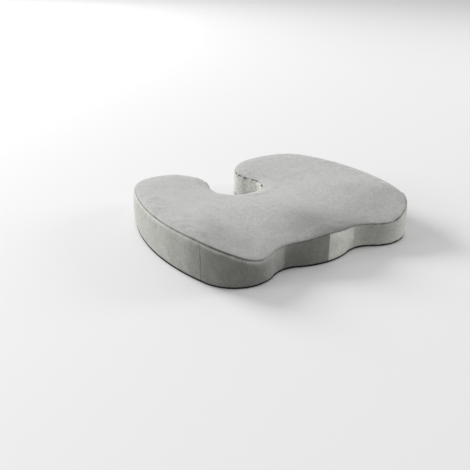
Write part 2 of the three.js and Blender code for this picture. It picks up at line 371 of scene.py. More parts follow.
# %% [markdown]
# The middle of the top panel is a plain grid, cut to stay inside the last ring and filled up to it
# with triangles. The two bays and the notch make a fan of long triangles a poor choice here, since
# they would crease the plush.
# %% Middle of the top panel
def fill_middle(bm, face, inset, lift):
    """Swaps a many-sided top face for a grid that follows the seat surface; returns its vertices."""
    ring, ring_edges = list(face.verts), list(face.edges)
    bmesh.ops.delete(bm, geom=[face], context="FACES_ONLY")
    cells = round(GRID_SPAN / GRID_PITCH)
    grid = bmesh.ops.create_grid(bm, x_segments=cells, y_segments=cells, size=cells * GRID_PITCH / 2)
    grid = grid["verts"]
    keep_from = inset + 0.55 * GRID_PITCH
    bmesh.ops.delete(bm, geom=[v for v in grid if foot_of(v.co)[2] < keep_from], context="VERTS")
    grid = [v for v in grid if v.is_valid]
    bmesh.ops.delete(bm, geom=[v for v in grid if not v.link_faces], context="VERTS")
    grid = [v for v in grid if v.is_valid]
    border = dict.fromkeys(e for v in grid for e in v.link_edges if len(e.link_faces) == 1)
    heights = {v: v.co.z for v in ring}
    for v in ring:
        v.co.z = 0
    bmesh.ops.triangle_fill(bm, use_beauty=True, edges=[*border, *ring_edges], normal=(0, 0, 1))
    for v in ring:
        v.co.z = heights[v]
    for v in grid:
        v.co.z = seat(v.co.x, v.co.y) + lift
    return grid


last_inset, last_rise = (value * MM for value in TOP_RINGS[-1])
grid = fill_middle(bm, top_face, last_inset, last_rise)
for v in grid:
    v[layer_inset], v[layer_pin] = 2 * last_inset, 1
    v[layer_ring] = SEAM_RING + len(TOP_RINGS) + 1
    v[layer_column] = nearest_column(v.co.x, v.co.y)
open_edges = [e for e in bm.edges if not e.is_manifold]
print("middle:", len(grid), "grid vertices,", len(open_edges), "open edges left")

# %% [markdown]
# ## Inflating the bag
# Pressure works on every face along its normal. The grid in the middle of the top is pinned too,
# because the foam decides its shape. Each point may move only a little way, so that the bag keeps
# the size of the frame, and never inwards, because the foam is there.
# %% Cloth simulation
FRAMES = 18
OUT_CAP = {"band": 2.6 * MM, "zip": 0.35 * MM, "top": 2.2 * MM}


def mesh_object(name, bm):
    mesh = bpy.data.meshes.new(name)
    bm.to_mesh(mesh)
    obj = bpy.data.objects.new(name, mesh)
    bpy.context.scene.collection.objects.link(obj)
    return obj


def inflate(obj, pins, excess):
    """Runs the cloth and returns where each vertex ends."""
    group = obj.vertex_groups.new(name="pins")
    group.add([i for i, pinned in enumerate(pins) if pinned], 1.0, "REPLACE")
    cloth = obj.modifiers.new("inflate", "CLOTH")
    settings = cloth.settings
    settings.quality = 6
    settings.mass = 0.25
    settings.tension_stiffness = settings.compression_stiffness = 20
    settings.shear_stiffness = 8
    settings.bending_stiffness = 0.15
    settings.vertex_group_mass = "pins"
    settings.use_pressure = True
    settings.uniform_pressure_force = 4
    settings.shrink_min = -excess
    settings.effector_weights.gravity = 0
    cloth.collision_settings.use_collision = False
    cloth.point_cache.frame_start, cloth.point_cache.frame_end = 1, FRAMES
    for number in range(1, FRAMES + 1):
        bpy.context.scene.frame_set(number)
    done = obj.evaluated_get(bpy.context.evaluated_depsgraph_get())
    ends = [v.co.copy() for v in done.data.vertices]
    obj.modifiers.remove(cloth)
    bpy.context.scene.frame_set(1)
    return ends


bm.verts.index_update()
bm.normal_update()
pins = [v[layer_pin] > 0 for v in bm.verts]
bag = mesh_object("bag", bm)
ends = inflate(bag, pins, 0.012)
moves = []
for v, end in zip(bm.verts, ends):
    zipped = zip_share(v[layer_column]) if v[layer_ring] < SEAM_RING else 0.0
    kind = "top" if v[layer_ring] >= SEAM_RING else "band"
    cap = OUT_CAP[kind] + (OUT_CAP["zip"] - OUT_CAP[kind]) * zipped
    shift = end - v.co
    inward = min(0.0, shift.dot(v.normal))
    shift -= v.normal * inward
    if shift.length > cap:
        shift *= cap / shift.length
    v.co += shift
    moves.append(shift.length)
bpy.data.objects.remove(bag)
print("inflated: mean move and most, mm:", [round(m / MM, 2) for m in (sum(moves) / len(moves), max(moves))])

# %% [markdown]
# ## Sewing the panels
# The bag is now cut along its seams into the panels that a maker would cut from the roll. Each cut
# edge is pulled back a hair and turned in, as a seam allowance is, so every seam is a real groove
# between two soft shoulders. A painted dark line alone would look flat from the side, so the painted
# seam shade further down only deepens this groove.
# %% Which face belongs to which panel
PANELS = (
    "cover_top_panel", "front_band_left", "front_band_right", "rear_band", "zip_band_upper",
    "zip_band_lower",
)
NOT_PLUSH = -1


def panel_of(face):
    rings = [v[layer_ring] for v in face.verts]
    here = sum((columns[v[layer_column]] for v in face.verts), Vector()) / len(face.verts)
    if max(rings) == 0:
        return NOT_PLUSH
    if min(rings) >= SEAM_RING:
        return 0
    if here.x < 0 and here.y < SIDE_SEAM_Y:
        return 1
    if here.x > 0 and here.y < columns[zip_front].y:
        return 2
    if here.x < 0.13 or here.y > columns[zip_rear].y:
        return 3
    if min(rings) >= 3:
        return 4
    return 5 if max(rings) <= 2 else NOT_PLUSH


layer_panel = bm.faces.layers.int.new("panel")
for face in bm.faces:
    face[layer_panel] = panel_of(face)
print("faces a panel:", {name: sum(f[layer_panel] == i for f in bm.faces) for i, name in enumerate(PANELS)})

# %% [markdown]
# Gathers run across a seam and fade away from it. They are strongest round the notch, where a
# straight strip of plush has to turn a tight inward curve. The noise is read at the foot of each
# point on the outline, so a wrinkle keeps its line as it leaves the seam.
# %% Panels
HEM, SEAM_PULL = 1.5 * MM, 0.12 * MM
PLUSH_THICK = 1.1 * MM


def gathers(point):
    """How far the plush stands out at a point, from its wrinkles."""
    foot, column, depth = foot_of(point)
    along = Vector((-outward[column].y, outward[column].x, 0))
    foot = foot + along * (point - foot).dot(along)
    fall = max(0.0, seat(foot.x, foot.y) - SEAM_DROP - point.z)
    tight = 1 - step((foot - notch).length, 60 * MM, 110 * MM)
    pleats = noise.noise(foot * 95) + 0.6 * noise.noise(foot * 210 + Vector((3, 1, 5)))
    tight += 0.55 * step(foot.x, 70 * MM, 110 * MM) * step(-foot.y, 60 * MM, 110 * MM)
    slack = noise.noise(point * 34 + Vector((7, 2, 1)))
    if depth > 2.6 * MM:
        near = math.exp(-(depth - 2.6 * MM) / (9 * MM))
        return (0.3 + 0.5 * tight) * MM * pleats * near + 0.35 * MM * slack
    near = math.exp(-fall / (13 * MM)) + 0.6 * math.exp(-max(0.0, point.z - RIM_Z) / (9 * MM))
    return ((0.32 + 1.1 * tight) * pleats * near + 0.3 * slack) * (1 - zip_share(column)) * MM


def applied(obj):
    """A mesh with the object's modifiers applied; the modifiers are then removed."""
    done = bpy.data.meshes.new_from_object(obj.evaluated_get(bpy.context.evaluated_depsgraph_get()))
    obj.modifiers.clear()
    obj.data = done
    return done


def subdivide(obj):
    smooth = obj.modifiers.new("smooth", "SUBSURF")
    smooth.levels = smooth.render_levels = 1


def thicken(obj, thickness):
    wall = obj.modifiers.new("thickness", "SOLIDIFY")
    wall.thickness, wall.offset, wall.use_even_offset = thickness, -1, False


def sew(number):
    """One plush panel, cut from the bag, hemmed, softened and given its thickness."""
    part = bm.copy()
    panel = part.faces.layers.int["panel"]
    column = part.verts.layers.int["column"]
    ring = part.verts.layers.int["ring"]
    bmesh.ops.delete(part, geom=[f for f in part.faces if f[panel] != number], context="FACES")
    rim = [e for e in part.edges if e.is_boundary]
    rim_verts = {v for e in rim for v in e.verts}
    for v in rim_verts:
        inner = [e.other_vert(v) for e in v.link_edges if e.other_vert(v) not in rim_verts]
        v.co += sum((o.co - v.co for o in inner), Vector()).normalized() * SEAM_PULL
    made = bmesh.ops.extrude_edge_only(part, edges=rim)["geom"]
    for v in only(made, BMVert):
        v.co -= outward[v[column]] * HEM
        if v[ring] == SEAM_RING:
            v.co.z -= 0.8 * HEM
    bmesh.ops.recalc_face_normals(part, faces=part.faces[:])
    for f in part.faces:
        f.smooth = True
    obj = mesh_object("plush_" + PANELS[number], part)
    part.free()
    subdivide(obj)
    mesh = applied(obj)
    normals = [v.normal.copy() for v in mesh.vertices]
    for v, n in zip(mesh.vertices, normals):
        v.co += n * gathers(v.co)
    return obj


bm.normal_update()
plush_pieces = []
for i, name in enumerate(PANELS):
    piece = sew(i)
    thicken(piece, PLUSH_THICK)
    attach(piece, "cushion")
    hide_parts(name)
    plush_pieces.append(piece)
    print(piece.name, len(piece.data.polygons), "faces")

# %% [markdown]
# ## The anti-slip base
# The underside is one piece of black fabric. Its edge turns up a few millimetres and meets the side
# strips in a seam, and small rubber dots are printed on it. A stack of rings makes the tray: each
# extrude of the many-sided face is one ring of its section.
# %% A solid from a stack of rings
def stack(bm, rings):
    """Rings of (inset, height), both in mm; a height is a number or a function of the seat's height."""

    def level(column, inset, height):
        here = columns[column]
        z = height(seat(here.x, here.y) / MM) if callable(height) else height
        return at(column, inset * MM, z * MM)

    layer = bm.verts.layers.int.new("column")
    face = outline_face(bm, rings[0][0] * MM)
    for v in face.verts:
        v[layer] = nearest_column(v.co.x, v.co.y)
        v.co = level(v[layer], *rings[0])
    for inset, height in rings[1:]:
        face = extrude_ring(bm, face, lambda c: level(c, inset, height))
    return face


def finished(name, bm, body, replaced, smooth=True):
    """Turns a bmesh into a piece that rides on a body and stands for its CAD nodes."""
    bmesh.ops.recalc_face_normals(bm, faces=bm.faces[:])
    for f in bm.faces:
        f.smooth = smooth
    obj = mesh_object(name, bm)
    bm.free()
    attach(obj, body)
    if replaced:
        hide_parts(*replaced)
    return obj


BASE_RINGS = (
    (3.2, 0.5), (1.6, 0.6), (0.7, 0.95), (0.3, 1.6), (0.35, 2.3), (0.9, 2.75),
    (1.7, 2.8), (2.4, 2.5), (2.7, 1.9), (3.6, 1.6),
)
base_bm = bmesh.new()
stack(base_bm, BASE_RINGS)
base = finished("grip_base", base_bm, "cushion", ["base_panel"])
print("base:", len(base.data.polygons), "faces")

# %% [markdown]
# Each dot is the cap of a small sphere, cut by a plane, flattened and copied. Over two thousand copies
# must stay light, so a dot has only a few dozen faces. The rows are staggered, as a printing screen
# staggers them.
# %% Rubber dots
DOT_R, DOT_HIGH, DOT_PITCH = 1.6 * MM, 0.5 * MM, 8 * MM
dot = bmesh.new()
bmesh.ops.create_uvsphere(dot, u_segments=10, v_segments=6, radius=DOT_R)
bmesh.ops.bisect_plane(dot, geom=whole(dot), plane_no=(0, 0, 1), clear_outer=True)
bmesh.ops.scale(dot, vec=(1, 1, DOT_HIGH / DOT_R), verts=dot.verts[:])
bmesh.ops.contextual_create(dot, geom=[e for e in dot.edges if e.is_boundary])
bmesh.ops.translate(dot, vec=(0, 0, DOT_HIGH), verts=dot.verts[:])
dot_mesh = bpy.data.meshes.new("dot")
dot.to_mesh(dot_mesh)
dot.free()

dots_bm = bmesh.new()
ROW_PITCH, DOT_MARGIN = DOT_PITCH * 0.866, 6 * MM
rows = round(DEPTH / ROW_PITCH)
printed = Vector()
for j in range(-rows // 2 - 1, rows // 2 + 2):
    for i in range(-30, 31):
        spot = Vector(((i + 0.5 * (j % 2)) * DOT_PITCH, j * ROW_PITCH, 0))
        if foot_of(spot)[2] > DOT_MARGIN:
            dot_mesh.transform(Matrix.Translation(spot - printed))
            dots_bm.from_mesh(dot_mesh)
            printed = spot
dots = finished("grip_dots", dots_bm, "cushion", [])
print("dots:", len(dots.data.vertices) // len(dot_mesh.vertices))

# %% [markdown]
# ## Foam core and its sock
# Nobody sees these with the cover closed, but they are real pieces, so they get their own shapes. The
# foam is a moulded block, with edges that a mould leaves rounded. The jersey sock is a thin shell
# just outside it, open below where its underside is sewn on.
# %% Foam core
FOAM_RINGS = (
    (10, 3.4), (7.2, 3.9), (6.0, 6.0), (5.9, 10), (5.9, 15), (5.9, 20), (5.9, lambda h: h - 18),
    (5.9, lambda h: h - 12), (6.4, lambda h: h - 8), (8.2, lambda h: h - 5), (12, lambda h: h - 3.6),
)


def crowned(name, rings, lift, body, replaced):
    """A block whose top follows the seat surface, lift mm above it."""
    solid = bmesh.new()
    face = stack(solid, rings)
    for v in face.verts:
        v.co.z = seat(v.co.x, v.co.y) + lift * MM
    fill_middle(solid, face, rings[-1][0] * MM, lift * MM)
    return finished(name, solid, body, replaced)


foam = crowned("foam_block", FOAM_RINGS, -3.3, "cushion", ["foam_core"])
SOCK_RINGS = (
    (5.2, 3.1), (4.9, 5.0), (4.9, 12), (4.9, 24), (4.9, lambda h: h - 14), (5.2, lambda h: h - 8),
    (6.4, lambda h: h - 4.6), (9.5, lambda h: h - 2.9),
)
sock = crowned("jersey_sock", SOCK_RINGS, -2.6, "cushion", ["inner_liner_upper"])
sock_bm = bmesh.new()
sock_bm.from_mesh(sock.data)
bmesh.ops.delete(sock_bm, geom=[max(sock_bm.faces, key=lambda f: len(f.verts))], context="FACES_ONLY")
sock_bm.to_mesh(sock.data)
sock_bm.free()
thicken(sock, 0.5 * MM)
sole_bm = bmesh.new()
stack(sole_bm, ((5.2, 2.0), (4.7, 2.25), (5.2, 2.6)))
sole = finished("jersey_sole", sole_bm, "cushion", ["inner_liner_lower"])
print("foam:", len(foam.data.polygons), "faces, sock:", len(sock.data.polygons))

# %% [markdown]
# ## The zip
# A coil zip is two woven tapes with a nylon coil sewn along each. Everything follows the arc of the
# side, so each piece is drawn once beside the arc's centre and spun round it: a section is swept into
# a tape, and one loop of the coil is copied along at its pitch.
# %% Tapes, coils and stops
COIL_PITCH = 1.5 * MM
SLIDER_AT = math.radians(15.5)


def along_side(angle):
    """The place on the side's arc at an angle: x points out of the cushion, y to the rear."""
    return Matrix.Translation(side) @ Matrix.Rotation(angle, 4, "Z") @ Matrix.Translation((SIDE_R, 0, ZIP_Z))


def block(bm, low, high, place=Matrix.Identity(4), round_by=0.0, segments=2):
    """A box from its corners in mm, its edges rounded, in the frame that place gives."""
    low, high = Vector(low) * MM, Vector(high) * MM
    made = bmesh.ops.create_cube(bm, size=1)["verts"]
    bmesh.ops.scale(bm, vec=high - low, verts=made)
    bmesh.ops.translate(bm, vec=(low + high) / 2, verts=made)
    if round_by:
        edges = list(dict.fromkeys(e for v in made for e in v.link_edges))
        made = bmesh.ops.bevel(
            bm, geom=edges, offset=round_by * MM, segments=segments, profile=0.5,
            affect="EDGES", material=-1,
        )["verts"]
    bmesh.ops.transform(bm, matrix=place, verts=made)
    return made


def swept(name, low, high, start, end, replaced):
    """A strip with a box section, swept along the side between two angles in degrees."""
    strip = bmesh.new()
    start, end = math.radians(start), math.radians(end)
    section = bmesh.ops.create_grid(strip, x_segments=1, y_segments=1, size=0.5)["verts"]
    size = (Vector(high) - Vector(low)) * MM
    bmesh.ops.scale(strip, vec=(size.x, size.y, 1), verts=section)
    bmesh.ops.rotate(strip, matrix=Matrix.Rotation(math.pi / 2, 3, "X"), verts=section)
    middle = (Vector(low) + Vector(high)) / 2 * MM
    bmesh.ops.translate(strip, vec=(middle.x, 0, middle.y), verts=section)
    bmesh.ops.transform(strip, matrix=along_side(start), verts=section)
    bmesh.ops.spin(
        strip, geom=whole(strip), cent=side, axis=(0, 0, 1), angle=end - start, steps=90
    )
    return finished(name, strip, "cushion", replaced, smooth=False)


def copied_along(bm, copies, pitch):
    """Copies all that a bmesh holds along the side, at a pitch."""
    bmesh.ops.spin(
        bm, geom=whole(bm), cent=side, axis=(0, 0, 1), angle=copies * pitch / SIDE_R,
        steps=copies, use_duplicate=True,
    )


tapes = [
    swept("tape_upper", (-2.6, 3.0), (-2.1, 14), -14.9, 16.7, ["zip_tape_upper"]),
    swept("tape_lower", (-2.6, -11), (-2.1, -3.0), -14.9, 16.7, ["zip_tape_lower"]),
]


def coil(name, up, shift, replaced):
    """One side of the zip: a loop of nylon copied along the arc."""
    low, high = sorted((0.55 * up, 2.95 * up))
    loops = bmesh.new()
    first = ZIP_FROM + math.radians(0.65) + shift
    span = math.radians(16.15) - first
    block(loops, (-2.9, -0.52, low), (-1.05, 0.52, high), along_side(first), round_by=0.45)
    copied_along(loops, int(span * SIDE_R / COIL_PITCH), COIL_PITCH)
    return finished(name, loops, "cushion", replaced)


coils = [
    coil("coil_upper", 1, 0, ["zip_coil_upper"]),
    coil("coil_lower", -1, COIL_PITCH / SIDE_R / 2, ["zip_coil_lower"]),
]


def stop(name, low, high, angle, replaced):
    piece = bmesh.new()
    block(piece, low, high, along_side(math.radians(angle)), round_by=0.4, segments=3)
    return finished(name, piece, "cushion", replaced)


stops = [
    stop("top_stop_upper", (-3.1, -1.4, 0.6), (-0.9, 1.4, 3.0), 16.51, ["zip_top_stop_upper"]),
    stop("top_stop_lower", (-3.1, -1.4, -3.0), (-0.9, 1.4, -0.6), 16.51, ["zip_top_stop_lower"]),
    stop("bottom_stop", (-3.1, -1.4, -3.0), (-0.9, 1.4, 3.0), -14.71, ["zip_bottom_stop"]),
]
print("coils:", [len(c.data.polygons) for c in coils], "faces")

# %% [markdown]
# ## Slider and pull
# A slider is two plates with turned-in edges and a thin wedge between them, and a bridge that the
# pull hangs from. The bridge is a flat bar bent twice, so it is extruded and spun round each bend.
# The pull starts as a ring round its hole: part of the ring's rim is extruded to the neck.
# %% Slider
BRIDGE_THICK, BRIDGE_WIDE, BEND_R = 0.8 * MM, 1.9 * MM, 1.1 * MM
BRIDGE_HALF = 3.6 * MM
place = along_side(SLIDER_AT)
metal = bmesh.new()


def tapered(verts, share):
    """Narrows the slider's front end by a share of its width."""
    for v in verts:
        v.co.z *= 1 - share * step(-v.co.y, 1 * MM, 5 * MM)


tapered(block(metal, (-0.7, -5, -4.4), (0.5, 5, 4.4), round_by=0.3), 0.22)
for v in metal.verts[:]:
    v.co.x -= 0.25 * MM * (v.co.z / (4.4 * MM)) ** 2
tapered(block(metal, (-4.1, -5, -4.4), (-3.3, 5, 4.4), round_by=0.25), 0.22)
for low, high in ((3.5, 4.3), (-4.3, -3.5)):
    tapered(block(metal, (-1.6, -4.6, low), (-0.4, 4.6, high), round_by=0.2, segments=1), 0.11)
block(metal, (-3.8, 0.2, -0.34), (-0.2, 4.8, 0.34), round_by=0.1, segments=1)

bar = bmesh.new()
section = bmesh.ops.create_grid(bar, x_segments=1, y_segments=1, size=0.5)["verts"]
bmesh.ops.scale(bar, vec=(BRIDGE_THICK, BRIDGE_WIDE, 1), verts=section)
bmesh.ops.rotate(bar, matrix=Matrix.Rotation(math.pi / 2, 3, "Z"), verts=section)
bmesh.ops.rotate(bar, matrix=Matrix.Rotation(math.pi / 2, 3, "Y"), verts=section)
bmesh.ops.translate(bar, vec=(0.2 * MM, -BRIDGE_HALF, 0), verts=section)
head_face = bar.faces[:][0]
BRIDGE_TOP = 2.75 * MM


def pushed(face, shift):
    made = bmesh.ops.extrude_face_region(bar, geom=[face])["geom"]
    bmesh.ops.translate(bar, vec=shift, verts=only(made, BMVert))
    bmesh.ops.delete(bar, geom=[face], context="FACES_ONLY")
    return only(made, BMFace)[0]


def bent(face, centre):
    made = bmesh.ops.spin(
        bar, geom=[face], cent=centre, axis=(0, 0, 1), angle=-math.pi / 2, steps=5
    )["geom_last"]
    bmesh.ops.delete(bar, geom=[face], context="FACES_ONLY")
    return only(made, BMFace)[0]


head_face = pushed(head_face, (BRIDGE_TOP - BEND_R - 0.2 * MM, 0, 0))
head_face = bent(head_face, (BRIDGE_TOP - BEND_R, -BRIDGE_HALF + BEND_R, 0))
head_face = pushed(head_face, (0, 2 * (BRIDGE_HALF - BEND_R), 0))
head_face = bent(head_face, (BRIDGE_TOP - BEND_R, BRIDGE_HALF - BEND_R, 0))
head_face = pushed(head_face, (-(BRIDGE_TOP - BEND_R - 0.2 * MM), 0, 0))
bmesh.ops.holes_fill(bar, edges=bar.edges[:], sides=4)
bmesh.ops.recalc_face_normals(bar, faces=bar.faces[:])
bridge_mesh = bpy.data.meshes.new("bridge")
bar.to_mesh(bridge_mesh)
bar.free()
metal.from_mesh(bridge_mesh)
bmesh.ops.transform(metal, matrix=place, verts=metal.verts[:])
slider = finished("slider", metal, "slider", ["zip_slider"])
print("slider:", len(slider.data.polygons), "faces")

# %% Pull
PULL_AXIS, EYE_R = 1.45 * MM, 0.55 * MM
PULL_LONG, PULL_HALF, PULL_THICK, HOLE_R = 27 * MM, 3 * MM, 1.1 * MM, 1.5 * MM
pull_bm = bmesh.new()
for radius in (HOLE_R, PULL_HALF):
    bmesh.ops.create_circle(pull_bm, segments=24, radius=radius)
bmesh.ops.bridge_loops(pull_bm, edges=pull_bm.edges[:])
# The side of the rim that faces the slider is drawn out in steps to the neck.
edges = [
    e for e in pull_bm.edges
    if e.is_boundary and all(v.co.length > 2 * MM and v.co.x > -0.1 * MM for v in e.verts)
]
for reach, half in ((7, 2.7), (13, 2.2), (17, 2.0), (19, 2.3), (19.8, 2.3)):
    made = bmesh.ops.extrude_edge_only(pull_bm, edges=edges)["geom"]
    verts = only(made, BMVert)
    widest = max(abs(v.co.y) for v in verts)
    for v in verts:
        v.co.x, v.co.y = reach * MM, v.co.y / widest * half * MM
    edges = only(made, BMEdge)
made = bmesh.ops.extrude_face_region(pull_bm, geom=pull_bm.faces[:])["geom"]
bmesh.ops.translate(pull_bm, vec=(0, 0, PULL_THICK), verts=only(made, BMVert))
bmesh.ops.translate(pull_bm, vec=(-(PULL_LONG - PULL_HALF), 0, -PULL_THICK / 2), verts=pull_bm.verts[:])
# Flat in the plan so far, reaching along -X; stood on edge along the zip, its eye at the axis.
turn = Matrix(((0, 0, 1), (1, 0, 0), (0, 1, 0))).to_4x4()
bmesh.ops.transform(pull_bm, matrix=turn, verts=pull_bm.verts[:])
for low, high in ((1.35, 2.15), (-2.15, -1.35)):
    block(pull_bm, (-0.5, -5.4, low), (0.5, 0.55, high), round_by=0.25, segments=2)
bmesh.ops.create_cone(
    pull_bm, cap_ends=True, segments=14, radius1=EYE_R, radius2=EYE_R, depth=4 * MM
)
bmesh.ops.transform(
    pull_bm, matrix=along_side(SLIDER_AT) @ Matrix.Translation((PULL_AXIS, 0, 0)), verts=pull_bm.verts[:]
)
pull = finished("pull", pull_bm, "pull", ["zip_pull"], smooth=False)
print("pull:", len(pull.data.polygons), "faces")

# %% [markdown]
# ## Topstitching and the label
# A row of stitches runs along each side of the zip and holds the folded plush to the tape. A blank
# satin label is caught in the base seam behind the left rear lobe and lies against the plush.
# %% Stitches beside the zip
STITCH_HALF, STITCH_PITCH = 1.25, 3.4 * MM
first_stitch = along_side(ZIP_FROM + math.radians(0.25))
thread_bm = bmesh.new()
for z in (6.8, -6.8):
    block(
        thread_bm, (-0.15, -STITCH_HALF, z - 0.25), (0.35, STITCH_HALF, z + 0.25), first_stitch,
        round_by=0.2,
    )
copied_along(
    thread_bm, int((ZIP_TO - math.radians(0.5) - ZIP_FROM) * SIDE_R / STITCH_PITCH), STITCH_PITCH
)
thread = finished("zip_topstitch", thread_bm, "cushion", [])
print("topstitch:", len(thread.data.polygons), "faces")

# %% Label
LABEL_FROM, LABEL_TO, LABEL_HIGH = math.radians(116), math.radians(125.5), 29 * MM
rear_strip = plush_pieces[3]
label_bm = bmesh.new()
bmesh.ops.create_grid(label_bm, x_segments=14, y_segments=20, size=0.5)
left_rear = Vector((-rear_lobe.x, rear_lobe.y, 0))
for v in label_bm.verts:
    across, rise = v.co.x + 0.5, v.co.y + 0.5
    angle = LABEL_FROM + (LABEL_TO - LABEL_FROM) * across
    direction = Vector((math.cos(angle), math.sin(angle), 0))
    z = 1.6 * MM + rise * LABEL_HIGH
    start = left_rear + direction * (REAR_R + 20 * MM) + Vector((0, 0, max(z, 5 * MM)))
    hit, spot, _, _ = rear_strip.ray_cast(start, -direction)
    reach = (spot - left_rear).xy.length if hit else REAR_R
    lift = (0.5 + 1.1 * rise * rise + 0.5 * math.sin(rise * 5) * rise) * MM
    v.co = left_rear + direction * (reach + lift) + Vector((0, 0, z))
label = finished("blank_label", label_bm, "cushion", ["care_label"])
thicken(label, 0.35 * MM)
print("label:", [round(c / MM, 1) for c in label.dimensions], "mm")

# %% [markdown]
# ## Painted nap sheen and seam shade
# Velour has a nap: the pile leans, so from one side a panel looks darker or paler than its neighbour
# although both are cut from one roll. The panel's own paint attribute holds how pale the nap looks at
# each point. That is painted sheen and shade, together with painted shade on the top's front slopes
# and painted light towards the rear, in the thigh dishes, on the left front shoulder and near the notch.
# A second attribute paints shade into the seam's groove and the notch's creases, with a painted
# highlight along the left edge. Attributes follow the surface, which a pattern in space would not do on
# a piece this curved.
# %% Two painted attributes
FRONT_NAP_AND_SHADE = (
    # From here to the right (x, mm), how pale the painted nap sheen and shade make the strip, and over how
    # many mm it changes.
    (-400, 0.5, 1), (-200, 0.42, 26), (-150, 0.49, 40), (-125, 0.7, 24), (-78.4, 0.42, 3),
    (-30, 0.48, 40), (0, 1.4, 1), (48, 1.28, 14), (67, 0.98, 7), (90, 0.84, 20), (122, 1.12, 26),
    (150, 1.34, 24), (175, 1.52, 30),
)
SIDE_NAP_AND_SHADE = (
    # The same along the left side, from the rear to the front (-y, mm).
    (-400, 1.04, 1), (-82, 0.91, 40), (60, 0.82, 50), (112, 0.63, 26),
)


def painted_tone_along(stops, value):
    tone = stops[0][1]
    for start, next_tone, width in stops[1:]:
        tone += (next_tone - tone) * step(value, start - width / 2, start + width / 2)
    return tone


def nap_and_shade_at(number, point):
    x, y = point.x / MM, point.y / MM
    if number == 0:
        # On the top: painted light towards the rear, painted shade on the front slopes, and painted light in
        # the two thigh dishes.
        rear = 1.0 + 0.05 * step(y - 0.6 * x, -40, 190)
        slope = step(-y, 50, 165) * (0.18 + 0.29 * bell((x - 26) / 66) - 0.08 * step(x, 90, 190))
        return rear - slope + 0.12 * bell(math.hypot(abs(x) - 105, y + 50) / 62)
    if number in (1, 2) and y < -60:
        # At the left front lobe a painted highlight rolls over the seam from the top, and at the right one
        # the strip is painted darker towards it.
        below = (seat(point.x, point.y) - point.z) / MM
        roll = bell((x + 112) / 34) * (1 - step(below, 5, 15))
        nap = painted_tone_along(FRONT_NAP_AND_SHADE, x)
        nap *= 1 + 0.2 * step(x, 62, 78) * (1 - step(x, 120, 170)) * (step(below, 6, 40) - 0.5)
        return nap + (0.85 - nap) * roll
    # Along the left side, painted sheen darkens the strip towards the front.
    if x < -100:
        return painted_tone_along(SIDE_NAP_AND_SHADE, -y)
    # Round the notch the strips are painted paler: painted light on the notch's walls.
    return 1.33 - 0.33 * step(math.hypot(x, y - NOTCH_Y / MM), 70, 135)


def painted_seam_darkness(x, y):
    """How dark the painted shade in the top seam's groove is at a point of the plan given in mm: less at the
    rounded left front shoulder, with dashes of painted pucker shade at the right front.
    """
    ahead = step(-y, 60, 120)
    rolled = bell((x + 108) / 32) * ahead
    dashes = 0.5 + 2.2 * noise.noise(Vector((x, y, 0)) * 0.07)
    pulled = step(-x, 140, 170) * step(-y, 20, 120) + dashes * step(x, 68, 95) * ahead
    return 1 + 1.6 * pulled - 3 * rolled


def painted_seam_shade(point):
    """Painted shade: 1 in the groove of the top seam, fading to 0 within 2 mm, and in the creases of the
    notch; below 0 where a painted highlight runs under the left edge's seam.
    """
    foot, _, depth = foot_of(point)
    drop = seat(foot.x, foot.y) - SEAM_DROP - point.z
    groove = 1 - step(math.hypot(depth - SEAM_INSET, drop), 0.8 * MM, 2.2 * MM)
    tight = 1 - step((foot - notch).length, 60 * MM, 95 * MM)
    crumpled = max(0.0, noise.noise(point * 210) + 0.05) * tight
    wall = 1 - step(depth, 2.4 * MM, 3.6 * MM)
    near_edge = bell(drop / (6 * MM)) + bell((point.z - 5 * MM) / (6 * MM))
    # Painted shade in the crumpled creases of the notch's wall.
    crease_shade = crumpled * wall * (3.6 + 3.4 * near_edge)
    # Just under the left edge's seam the strip rolls outwards and catches the light; a painted highlight
    # stands for it.
    ridge = bell((drop - 3.4 * MM) / (1.7 * MM)) * wall * step(-foot.x / MM, 118, 165)
    ridge *= 2.8 + 5.5 * step(-foot.y / MM, 132, 150)
    return groove * painted_seam_darkness(foot.x / MM, foot.y / MM) * min(4.5, 1 + 14 * crumpled) + crease_shade - ridge


def paint(piece, name, value_at):
    layer = piece.data.attributes.new(name, "FLOAT", "POINT")
    layer.data.foreach_set("value", [value_at(v.co) for v in piece.data.vertices])


# Each plush panel gets painted nap sheen and shade, and painted seam shade with a painted highlight.
for number, piece in enumerate(plush_pieces):
    paint(piece, "nap", lambda point: nap_and_shade_at(number, point))
    paint(piece, "seam", painted_seam_shade)
print("painted:", [piece.name for piece in plush_pieces])

# %% [markdown]
# ## Plush
# Short velour pile is dark where it is looked at straight on and pale where the eye meets it at a
# slant, which is what sheen does. Its tone also shifts in soft patches, where a hand or the cutting
# table has brushed the pile another way. One node group holds the patches and the fine pile, so the
# panels share it, each with the tone that its painted nap sheen and shade and its painted seam shade give.
# %% A node group for the pile
def put(tree, made, **sockets):
    """Sets sockets by name, or by number after an underscore: a value stays, a socket is linked."""
    for key, value in sockets.items():
        socket = made.inputs[int(key[1:])] if key[0] == "_" else made.inputs[key.replace("_", " ")]
        if isinstance(value, bpy.types.NodeSocket):
            tree.links.new(value, socket)
        else:
            socket.default_value = value
    return made


def math_node(tree, operation, a, b, clamp=False):
    made = tree.nodes.new("ShaderNodeMath")
    made.operation, made.use_clamp = operation, clamp
    put(tree, made, _0=a, _1=b)
    return made.outputs[0]


def times(tree, a, b):
    return math_node(tree, "MULTIPLY", a, b)


def plus(tree, a, b):
    return math_node(tree, "ADD", a, b)


def centred(tree, value):
    """A value between 0 and 1 as one between -0.5 and 0.5."""
    return math_node(tree, "SUBTRACT", value, 0.5)


def noise_node(tree, vector, scale, detail=2.0, roughness=0.5, distortion=0.0):
    made = tree.nodes.new("ShaderNodeTexNoise")
    put(tree, made, Vector=vector, Scale=scale, Detail=detail, Roughness=roughness, Distortion=distortion)
    return made.outputs["Fac"]


